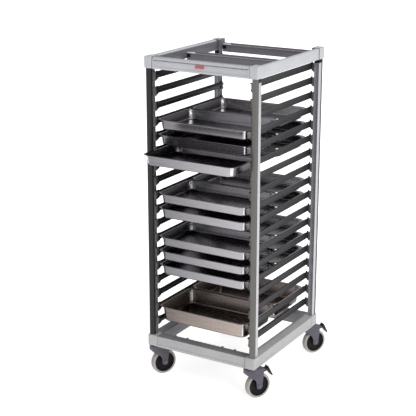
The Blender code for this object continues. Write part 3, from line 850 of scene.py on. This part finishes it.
# ------------------------------------------------------------------ slides
LEVELS = 18
PITCH = 0.0765
TOP_CLEARANCE = 0.0275  # from the highest ledge to the underside of the top frame
WALL = 0.004
WEB_ABOVE = 0.009
WEB_BELOW = 0.025
LEDGE_WIDTH = 0.0195
BRACKET_THICKNESS = 0.0135
BRACKET_DEPTH = 0.026
BRACKET_ABOVE = 0.008
BRACKET_BELOW = 0.040
TOE = 0.0035  # radius of a bracket's curled toe
STRIP_THICKNESS = 0.003
STRIP_WIDTH = 0.022
SINK = 0.001  # a slide is let into its brackets by this much
OVERLAP = 0.006  # of a slide's end with its bracket
CAP_LENGTH = 0.009
BEAD = 0.0035  # the raised band along each edge of a slide's web
POST_IN = 0.004  # from the end of the frame to the face of a post bar
BAR_DEPTH = 0.015
HALF_UPRIGHT = 0.015
NOTCH_BELOW = 0.058  # from a ledge to the middle of the notch under it
HALF_NOTCH = Vector((0.0, 0.005, 0.007))
NOTCH_FLOOR = 0.0012
BANK_LOW, BANK_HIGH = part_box("slide_bank_right")
TOP_LEDGE = BANK_HIGH.z + GAP - TOP_CLEARANCE
BRACKET_FACE = BANK_HIGH.x - BRACKET_THICKNESS
WEB_OUTER = BRACKET_FACE + SINK
LEDGE_INNER = BANK_LOW.x
STRIP_Y = HALF_DEPTH - POST_IN - BAR_DEPTH - GAP - HALF_UPRIGHT  # middle of the uprights
SLIDE_HALF = STRIP_Y - BRACKET_DEPTH / 2 + OVERLAP


def ledge_z(level):
    return TOP_LEDGE - (level - 1) * PITCH


def slide_model():
    """One right-hand slide at ledge height 0: a web with beaded edges, and a ledge turned inwards."""
    low_y = MIDDLE.y - SLIDE_HALF + CAP_LENGTH
    high_y = MIDDLE.y + SLIDE_HALF - CAP_LENGTH
    slide = block("slide_model", (WEB_OUTER - WALL, low_y, -WEB_BELOW), (WEB_OUTER, high_y, WEB_ABOVE))
    with shaping(slide):
        pick(slide, "FACE", lambda place, normal: normal.x > 0.9)
        bpy.ops.mesh.inset(thickness=BEAD)
        bpy.ops.mesh.extrude_region_move(TRANSFORM_OT_translate={"value": (-0.0008, 0, 0)})
        for height in (-WALL, 0.0):
            bpy.ops.mesh.select_all(action="SELECT")
            bpy.ops.mesh.bisect(plane_co=(0, 0, height), plane_no=(0, 0, 1))
        pick(slide, "FACE", lambda place, normal: normal.x < -0.9 and -WALL < place.z < 0)
        bpy.ops.mesh.extrude_region_move(TRANSFORM_OT_translate={"value": (WALL - LEDGE_WIDTH, 0, 0)})
    soften(slide, 0.0009, 2)
    return slide


def cap_model():
    """The flared black end of a slide, at its front end."""
    start = MIDDLE.y - SLIDE_HALF
    cap = block(
        "cap_model", (WEB_OUTER - 0.0065, start, -WEB_BELOW - 0.002),
        (WEB_OUTER + 0.0008, start + CAP_LENGTH + 0.002, WEB_ABOVE + 0.001),
    )
    with shaping(cap):
        pick(cap, "FACE", lambda place, normal: normal.y < -0.9)
        bpy.ops.transform.resize(value=(1, 1, 1.22))
        pick(cap, "FACE", lambda place, normal: normal.x < -0.9)
        bpy.ops.mesh.inset(thickness=0.0015)
    soften(cap, 0.0012, 2)
    tongue_end = (WEB_OUTER - WALL, start + CAP_LENGTH, 0.0)
    tongue = block("cap_tongue", (LEDGE_INNER + 0.0008, start, -WALL - 0.001), tongue_end)
    soften(tongue, 0.001, 2)
    return joined("cap_model", [cap, tongue])


def bracket_model():
    """A hook bracket seen from the front, with a toe that curls inwards below the slide and a flat foot."""
    outer = BANK_HIGH.x - STRIP_THICKNESS
    foot = -BRACKET_BELOW
    face = BRACKET_FACE
    outline = [(outer, BRACKET_ABOVE), (face + 3 * TOE, BRACKET_ABOVE)]
    outline += arc((face + 2 * TOE, BRACKET_ABOVE - 2 * TOE), 2 * TOE, 90, 180, 4)
    outline += [(face, -WEB_BELOW + TOE)]
    outline += arc((face, -WEB_BELOW - TOE), TOE, 90, 200, 5)
    outline += [(face - TOE / 2, foot + 2 * TOE), (face + TOE, foot + TOE / 2)]
    outline += [(face + 1.5 * TOE, foot), (outer, foot)]
    half = BRACKET_DEPTH / 2
    bracket = drawn("bracket_model", outline, MIDDLE.y - STRIP_Y - half, MIDDLE.y - STRIP_Y + half, "XZ")
    soften(bracket, 0.0008, 1, 50)
    return bracket


def strip_model():
    """The notched strip that the brackets hook into, on the inner face of the front right upright."""
    half = STRIP_WIDTH / 2
    face = BANK_HIGH.x - STRIP_THICKNESS
    place_y = MIDDLE.y - STRIP_Y
    start = (face, place_y - half, BANK_LOW.z)
    strip = block("strip_model", start, (BANK_HIGH.x, place_y + half, BANK_HIGH.z))
    notches = []
    for level in range(1, LEVELS + 1):
        middle_z = ledge_z(level) - NOTCH_BELOW
        start = Vector((face - 0.001, place_y, middle_z)) - HALF_NOTCH
        stop = Vector((BANK_HIGH.x - NOTCH_FLOOR, place_y, middle_z)) + HALF_NOTCH
        notches.append(block(f"notch_{level}", start, stop))
    cut(strip, joined("notches", notches))
    return strip


def build_slides():
    slide = slide_model()
    front_cap = cap_model()
    front_bracket = bracket_model()
    front_strip = strip_model()
    models = {
        "slide": [("", slide)],
        "cap": [("_front", front_cap), ("_rear", flipped(front_cap, "rear cap", 1))],
        "bracket": [("_front", front_bracket), ("_rear", flipped(front_bracket, "rear bracket", 1))],
        "strip": [("_front", front_strip), ("_rear", flipped(front_strip, "rear strip", 1))],
    }
    # brackets and strips get the painted shade
    finishes = {"slide": SLIDE_DARK, "cap": CAP_BLACK, "bracket": BRACKET_SHADE, "strip": STRIP_SHADE}
    # the rear right strip keeps the light grey plastic; the other strips get the painted shade
    light = "strip_rear_right"
    for kind, variants in models.items():
        for where, right in variants:
            left = flipped(right, f"left {kind}{where}")
            for model, word in ((left, "left"), (right, "right")):
                stem = f"{kind}{where}_{word}"
                if kind == "strip":
                    piece = copied(model, f"post_{stem}")
                    finish = STRIP_LIGHT if stem == light else STRIP_SHADE
                    done(piece, finish, replaces=[f"slide_bank_{word}"])
                else:
                    for level in range(1, LEVELS + 1):
                        piece = copied(model, f"{stem}_{level:02d}", (0, 0, ledge_z(level)))
                        done(piece, finishes[kind])
                bpy.data.objects.remove(model)


# ------------------------------------------------------------------ pans
SHEET = 0.0012
RIM = 0.012
RIM_CORNER = 0.052
TAPER = 0.10
FLOOR_RADIUS = 0.010
SHOULDER_DROP = 0.013
SHOULDER_IN = 0.0012
ROUND_RIM = 0.0035  # of the bend between a wall and the rim
# the faces of a pan's rounded corners get a painted highlight
CORNER_HIGHLIGHT_TURN = 0.62  # a face turned this much both ways belongs to a corner
DEEP = 0.07  # a pan deeper than this is of the warmer steel


def pan(name):
    """A pressed pan: floor, sloped walls with a stacking shoulder, and a flat rim with a bead round it."""
    low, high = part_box(name)
    centre = (low + high) / 2
    length = high.x - low.x
    width = high.y - low.y
    deep = high.z - low.z - SHEET
    base = low.z + SHEET
    rise = deep - SHOULDER_DROP
    inset = TAPER * deep + SHOULDER_IN
    floor_trim = RIM + inset
    slope_trim = floor_trim - TAPER * rise
    edge_trim = 1.3 * SHEET
    stages = [
        (floor_trim, 0.0),
        (slope_trim, rise),
        (slope_trim - SHOULDER_IN, rise + 0.002),
        (RIM, deep),
        (edge_trim + 0.001, deep),
        (edge_trim, deep + 0.0008),
        (edge_trim + 0.0008, deep + 0.0012),
    ]  # how far the sheet lies inside the pan's box, and how high above the floor
    deselect()
    bpy.ops.mesh.primitive_plane_add(size=1, location=(centre.x, centre.y, base))
    shell = bpy.context.object
    shell.name = name + "_pressing"
    shell.scale = (length - 2 * floor_trim, width - 2 * floor_trim, 1)
    settle(shell)

    def rim_bend(place, way):
        reach_x = length / 2 - 0.003
        reach_y = width / 2 - 0.003
        inside = abs(place.x - centre.x) < reach_x and abs(place.y - centre.y) < reach_y
        return inside and abs(place.z - base - deep) < 1e-5

    with shaping(shell):
        bpy.ops.mesh.select_all(action="SELECT")
        bpy.ops.mesh.bevel(offset=RIM_CORNER - RIM - inset / 2, segments=8, affect="VERTICES")
        bpy.ops.mesh.select_mode(type="EDGE")
        bpy.ops.mesh.select_all(action="SELECT")
        bpy.ops.mesh.region_to_loop()
        for (trim, height), (next_trim, next_height) in zip(stages, stages[1:]):
            travel = (0, 0, next_height - height)
            bpy.ops.mesh.extrude_edges_move(TRANSFORM_OT_translate={"value": travel})
            grow = [(side - 2 * next_trim) / (side - 2 * trim) for side in (length, width)]
            middle = (centre.x, centre.y, base + next_height)
            bpy.ops.transform.resize(value=(*grow, 1), center_override=middle)
        pick(shell, "EDGE", lambda place, way: abs(place.z - base) < 1e-5)
        bpy.ops.mesh.bevel(offset=FLOOR_RADIUS, segments=4)
        pick(shell, "EDGE", rim_bend)
        bpy.ops.mesh.bevel(offset=ROUND_RIM, segments=3)
        face_out()
    wall = shell.modifiers.new("sheet", "SOLIDIFY")
    wall.thickness = SHEET
    wall.offset = -1.0
    wall.use_even_offset = False
    apply(shell, wall)
    # faces turned towards +X get the painted shade
    front, side = (PAN_WARM, PAN_WARM_SIDE_SHADE) if deep > DEEP else (PAN_STEEL, PAN_SIDE_SHADE)
    done(shell, front, name, [name], 40)
    add_finish(shell, side, lambda place, normal: normal.x > 0.8)
    # rounded corners: painted highlight
    add_finish(shell, PAN_CORNER_HIGHLIGHT, lambda place, normal: min(abs(normal.x), abs(normal.y)) > CORNER_HIGHLIGHT_TURN)


def build_pans():
    for node in sorted(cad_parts):
        if node.startswith("pan_"):
            pan(node)


# ------------------------------------------------------------------ casters
def mean_box(name):
    low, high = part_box(name)
    return (low + high) / 2


def caster(end_word, side_word):
    """One caster, modelled at the swivel's own place and then turned into its own."""
    word = f"{end_word}_{side_word}"
    braked = f"brake_pedal_{word}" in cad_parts
    axle = mean_box(f"caster_axle_{word}")
    pivot = mean_box(f"caster_plate_{word}")
    trail = Vector((axle.x - pivot.x, axle.y - pivot.y))
    angle = math.atan2(-trail.x, trail.y)
    _, fork_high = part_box(f"caster_fork_{word}")
    tyre_low, tyre_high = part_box(f"caster_tyre_{word}")
    place = {
        "turn": Matrix.Translation((pivot.x, pivot.y, 0)) @ Matrix.Rotation(angle, 4, "Z"),
        "trail": trail.length,
        "radius": (tyre_high.z - tyre_low.z) / 2,
        "top": fork_high.z,
    }
    fork_housing(word, place, braked)
    wheel(word, place)
    plate_and_bolt(word, place)
    if braked:
        pedal(word, place)


def stand(piece, place):
    """Turns a piece modelled at the swivel's own place into the caster's place."""
    piece.matrix_world = place["turn"]
    return settle(piece)


FORK_HALF = 0.018
FORK_WALL = 0.0055
FORK_OUT = FORK_HALF + FORK_WALL  # from the middle of a fork to the outer face of a leg
FORK_HEAD = 0.020
FORK_REACH = 0.034
LEG_END = 0.017
STEM_RISE = 0.016  # a leg stays narrow this far above the axle
FLARE_RISE = 0.036  # and has begun to widen into the head this far above it
FORK_REAR = 0.063
TYRE_ROOM = 0.006
EAR = 0.014
PEDAL_DROP = 0.018
KNUCKLE = 0.0055
PEDAL_WIDTH = 0.028
HALF_TREAD = 0.016
HALF_HUB = 0.015
HUB_BORE = 0.0063
RIM_DEPTH = 0.012  # of the tyre round the hub
DISH = 0.0085  # how deep a hub's face is dished
PLATE_THICKNESS = 0.005
PIN_RADIUS = 0.0078


def fork_housing(word, place, braked):
    """The moulded housing: a wide head over the wheel and two legs that narrow to a round end at the axle."""
    top = place["top"]
    trail = place["trail"]
    radius = place["radius"]
    rear = FORK_REAR
    hinge_z = top - PEDAL_DROP
    foot = top - FORK_HEAD
    outline = [(-FORK_REACH, top), (-FORK_REACH, foot - 0.006), (-FORK_REACH + 0.007, foot - 0.014)]
    outline += [(trail - LEG_END - 0.007, radius + FLARE_RISE), (trail - LEG_END, radius + STEM_RISE)]
    outline += arc((trail, radius), LEG_END, 190, 350, 10)
    outline += [(trail + LEG_END, radius + STEM_RISE), (trail + LEG_END + 0.004, radius + FLARE_RISE)]
    outline += [(rear - 0.002, foot - KNUCKLE)]
    if braked:
        outline += arc((rear + EAR - KNUCKLE, hinge_z), KNUCKLE, 250, 450, 8)
    outline += [(rear, top - FORK_HEAD / 3), (FORK_REACH + 0.004, top - 0.0015), (FORK_REACH - 0.004, top)]
    housing = drawn(f"caster_housing_{word}", outline, -FORK_OUT, FORK_OUT, "YZ")
    room = radius + TYRE_ROOM
    slot = arc((trail, radius), room, 0, 180, 20)
    slot += [(trail - room, -radius), (trail + room, -radius)]
    cut(housing, drawn("wheel slot", slot, -FORK_HALF, FORK_HALF, "YZ"))
    if braked:
        start = (-PEDAL_WIDTH / 2 - GAP, rear, hinge_z - FORK_HEAD)
        cut(housing, block("pedal room", start, (PEDAL_WIDTH / 2 + GAP, rear + 2 * EAR, top + GAP)))
    soften(housing, 0.0012, 2, 40)
    stand(housing, place)
    done(housing, CASTER_GREY, f"swivel_{word}", [f"caster_fork_{word}"])


def wheel(word, place):
    """A black hub with a dished face and a raised boss, and a pale round-shouldered tyre."""
    radius = place["radius"]
    rim = radius - RIM_DEPTH
    half = HALF_HUB
    face = [(half, HUB_BORE), (half, 0.016), (half - 0.002, 0.018), (half - DISH + 0.001, 0.0195)]
    face += [(half - DISH, 0.024), (half - DISH, rim - 0.012), (half - 0.006, rim - 0.007)]
    face += [(half - 0.001, rim - 0.005), (half, rim - GAP)]
    profile = face + [(-along, out) for along, out in reversed(face)]
    hub = turned(f"caster_wheel_hub_{word}", profile, 56)
    shoulder = 0.006
    edge = [(HALF_TREAD - 0.0012, rim), (HALF_TREAD, rim + 0.0015)]
    edge += arc((HALF_TREAD - shoulder, radius - shoulder), shoulder, 0, 90, 6)
    tyre = turned(f"caster_tread_{word}", edge + [(-along, out) for along, out in reversed(edge)], 72)
    looks = ((hub, HUB_BLACK, "caster_hub", "hub_plastic"), (tyre, TYRE_GREY, "caster_tyre", "tyre_rubber"))
    for piece, finish, node, slot in looks:
        piece.location = (0, place["trail"], radius)
        settle(piece)
        stand(piece, place)
        done(piece, finish, f"wheel_{word}", [f"{node}_{word}"], 30)


def plate_and_bolt(word, place):
    """The swivel's zinc plate with its ball race, and the axle bolt with a six-sided head and nut."""
    low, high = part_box(f"caster_plate_{word}")
    top = high.z
    foot = top - PLATE_THICKNESS
    radius = (high.x - low.x) / 2
    profile = [(top, 0.0005), (top, radius - 0.001), (top - 0.001, radius), (top - 0.003, radius)]
    profile += [(top - 0.0038, radius - 0.002), (foot, radius - 0.004), (foot, PIN_RADIUS)]
    profile += [(top - 0.018, PIN_RADIUS), (top - 0.018, 0.0005)]
    plate = turned(f"swivel_plate_{word}", profile, 40)
    plate.rotation_euler = (0, -math.pi / 2, 0)
    settle(plate)
    stand(plate, place)
    done(plate, ZINC, "rack", [f"caster_plate_{word}"], 30)
    half = FORK_OUT + GAP
    parts = [rod("shank", 0.006, (-half, 0, 0), (half, 0, 0), 24)]
    for sign in (-1, 1):
        head = rod("head", 0.0096, (sign * half, 0, 0), (sign * (half + 0.003), 0, 0), 6)
        soften(head, 0.0006, 1)
        parts.append(head)
    bolt = joined(f"axle_bolt_{word}", parts)
    bolt.location = (0, place["trail"], place["radius"])
    settle(bolt)
    stand(bolt, place)
    done(bolt, BOLT_DARK, f"swivel_{word}", [f"caster_axle_{word}"], 25)


def pedal(word, place):
    """The brake pedal: a knuckle on its pin, an arm, and a long blade that leans back below a short flag."""
    hinge = (0, FORK_REAR + KNUCKLE + 3 * GAP, place["top"] - PEDAL_DROP)
    wall = 0.006
    arm = 0.020
    lean = 0.026
    blade = 0.042
    flag = 0.014
    outline = arc((0, 0), KNUCKLE, 60, 300, 12)
    outline += [(arm - 0.004, -wall), (arm, -wall - 0.004), (arm + lean, -blade)]
    outline += [(arm + lean + wall * 0.6, -blade - 0.001), (arm + lean + wall, -blade + wall / 2)]
    outline += [(arm + wall, flag - 0.002), (arm + wall * 0.7, flag), (arm + 0.001, flag)]
    outline += [(arm, flag - 0.002), (arm - 0.001, wall * 0.8), (arm - wall * 0.6, wall / 2)]
    piece = drawn(f"brake_lever_{word}", outline, -PEDAL_WIDTH / 2, PEDAL_WIDTH / 2, "YZ")
    soften(piece, 0.001, 2, 40)
    pin = rod("pedal pin", 0.0025, (-FORK_OUT, 0, 0), (FORK_OUT, 0, 0), 16)
    piece = joined(f"brake_lever_{word}", [piece, pin])
    piece.location = hinge
    settle(piece)
    stand(piece, place)
    done(piece, PEDAL_BLACK, f"pedal_{word}", [f"brake_pedal_{word}"])


def build_casters():
    for _, end_word in ENDS:
        for _, side_word in SIDES:
            caster(end_word, side_word)


# ------------------------------------------------------------------ floor, light and camera
def floor():
    deselect()
    bpy.ops.mesh.primitive_plane_add(size=80, location=(0, 0, 0))
    ground = bpy.context.object
    ground.name = "floor"
    finish = bpy.data.materials.new("floor_white")
    finish.use_nodes = True
    shader = finish.node_tree.nodes["Principled BSDF"]
    shader.inputs["Base Color"].default_value = (0.93, 0.93, 0.93, 1)
    shader.inputs["Roughness"].default_value = 0.9
    shader.inputs["Specular IOR Level"].default_value = 0.1
    shader.inputs["Emission Color"].default_value = (1, 1, 1, 1)
    shader.inputs["Emission Strength"].default_value = 0.62
    ground.data.materials.append(finish)


def studio():
    world = bpy.data.worlds.new("studio")
    bpy.context.scene.world = world
    world.use_nodes = True
    tree = world.node_tree
    sky = tree.nodes["Background"]
    sky.inputs["Color"].default_value = (0.98, 0.98, 1.0, 1)
    sky.inputs["Strength"].default_value = 0.62
    white = tree.nodes.new("ShaderNodeBackground")
    white.inputs["Strength"].default_value = 1.0
    rays = tree.nodes.new("ShaderNodeLightPath")
    mixer = tree.nodes.new("ShaderNodeMixShader")
    tree.links.new(rays.outputs["Is Camera Ray"], mixer.inputs["Fac"])
    tree.links.new(sky.outputs[0], mixer.inputs[1])
    tree.links.new(white.outputs[0], mixer.inputs[2])
    tree.links.new(mixer.outputs[0], tree.nodes["World Output"].inputs["Surface"])
    key = bpy.data.lights.new("key", "SUN")
    key.energy = 1.85
    key.angle = math.radians(50)
    lamp = bpy.data.objects.new("key", key)
    lamp.rotation_euler = Vector((0.86, -0.30, 0.95)).to_track_quat("Z", "Y").to_euler()
    bpy.context.scene.collection.objects.link(lamp)
    bpy.context.scene.view_settings.view_transform = "Standard"


CAMERA_FROM_MIDDLE = Vector((2.833, -4.990, 2.627))
CAMERA_YAW = 31.01
CAMERA_PITCH = 16.89
CAMERA_LENS = 99.0


def camera():
    view = bpy.data.cameras.new("camera")
    view.lens = CAMERA_LENS
    view.sensor_width = 36.0
    view.clip_end = 200
    eye = bpy.data.objects.new("camera", view)
    eye.location = CAMERA_FROM_MIDDLE + MIDDLE
    eye.rotation_euler = (math.radians(90 - CAMERA_PITCH), 0, math.radians(CAMERA_YAW))
    bpy.context.scene.collection.objects.link(eye)
    bpy.context.scene.camera = eye


camera()
floor()
studio()
build_frames()
build_posts()
build_slides()
build_pans()
build_casters()
